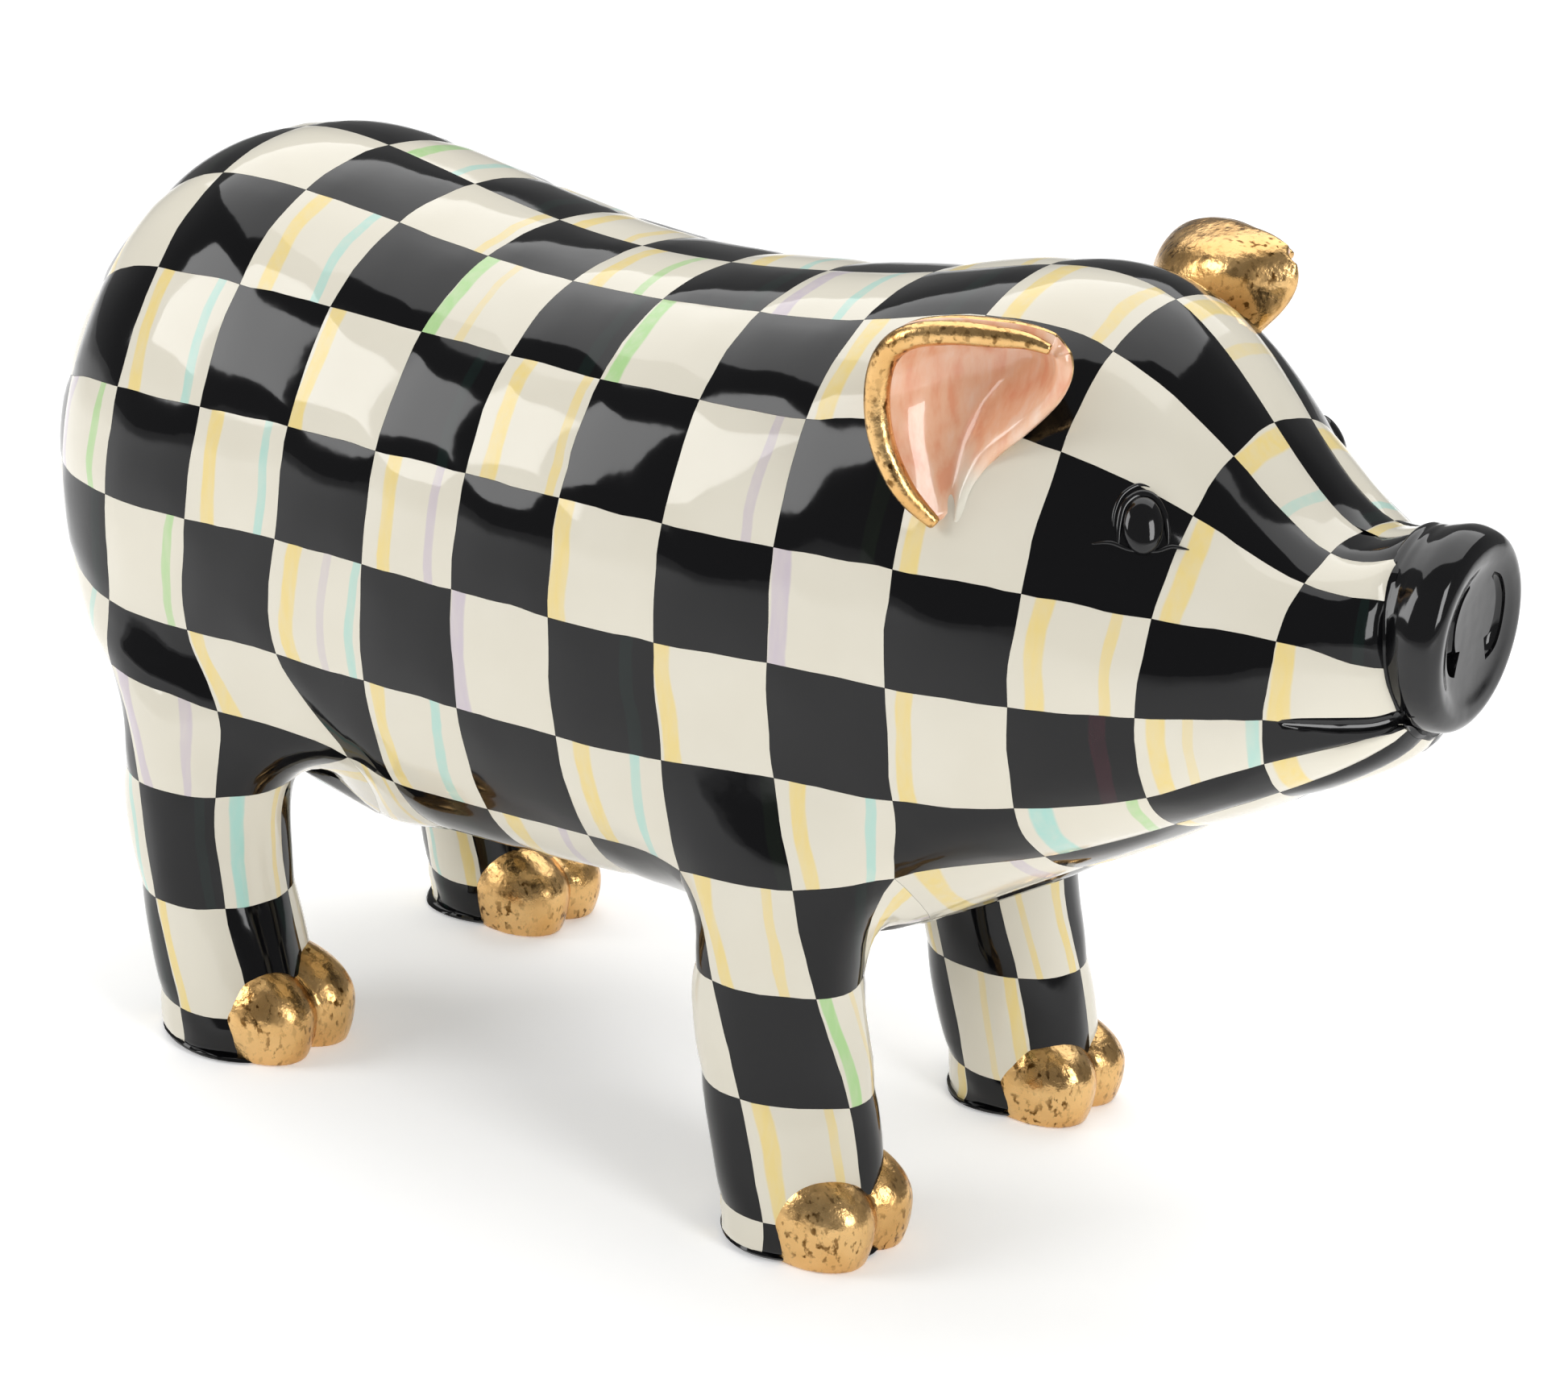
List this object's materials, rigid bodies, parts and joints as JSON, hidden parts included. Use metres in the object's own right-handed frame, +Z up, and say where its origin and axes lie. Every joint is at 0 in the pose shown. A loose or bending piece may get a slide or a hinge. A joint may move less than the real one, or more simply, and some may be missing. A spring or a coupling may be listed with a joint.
{
  "type": "still bank",
  "caption": "Standing pig coin bank in two cast half shells with applied ears, snout, tail and hooves, a coin slot in the flank and a swivelling coin trap in the belly.",
  "frame": {"origin": "on the ground, below the middle of the pig's length and width", "axes": "+X forward out of the snout, +Y towards the pig's left, +Z up"},
  "size_m": [0.3094, 0.1172, 0.183],
  "materials": {
    "enamel": "ivory and black checked gloss enamel on cast iron, hand painted",
    "black_enamel": "black gloss enamel on cast iron",
    "gold_leaf": "metal leaf, mottled and varnished, on cast iron",
    "steel": "zinc plated",
    "brass": "turned"
  },
  "bodies": {
    "bank": {"right_half": "enamel", "left_half": "enamel", "tail": "enamel", "snout": "black_enamel", "right_ear": "gold_leaf", "left_ear": "gold_leaf", "right_fore_hoof": "gold_leaf", "left_fore_hoof": "gold_leaf", "right_hind_hoof": "gold_leaf", "left_hind_hoof": "gold_leaf", "right_ear_nut": "steel", "left_ear_nut": "steel", "hoof_screws": "steel", "front_screw": "steel", "rear_screw": "steel", "front_nut": "steel", "rear_nut": "steel", "front_dowel": "steel", "rear_dowel": "steel", "trap_ring": "black_enamel", "trap_screw": "brass", "trap_washer": "brass"},
    "trap": {"trap_plate": "black_enamel"}
  },
  "joints": [
    {"name": "trap_swivel", "type": "hinge", "parent": "bank", "child": "trap", "pos_m": [-0.00775, 0, 0.0496], "axis": [0, 0, 1], "range_deg": [0, 90]}
  ]
}
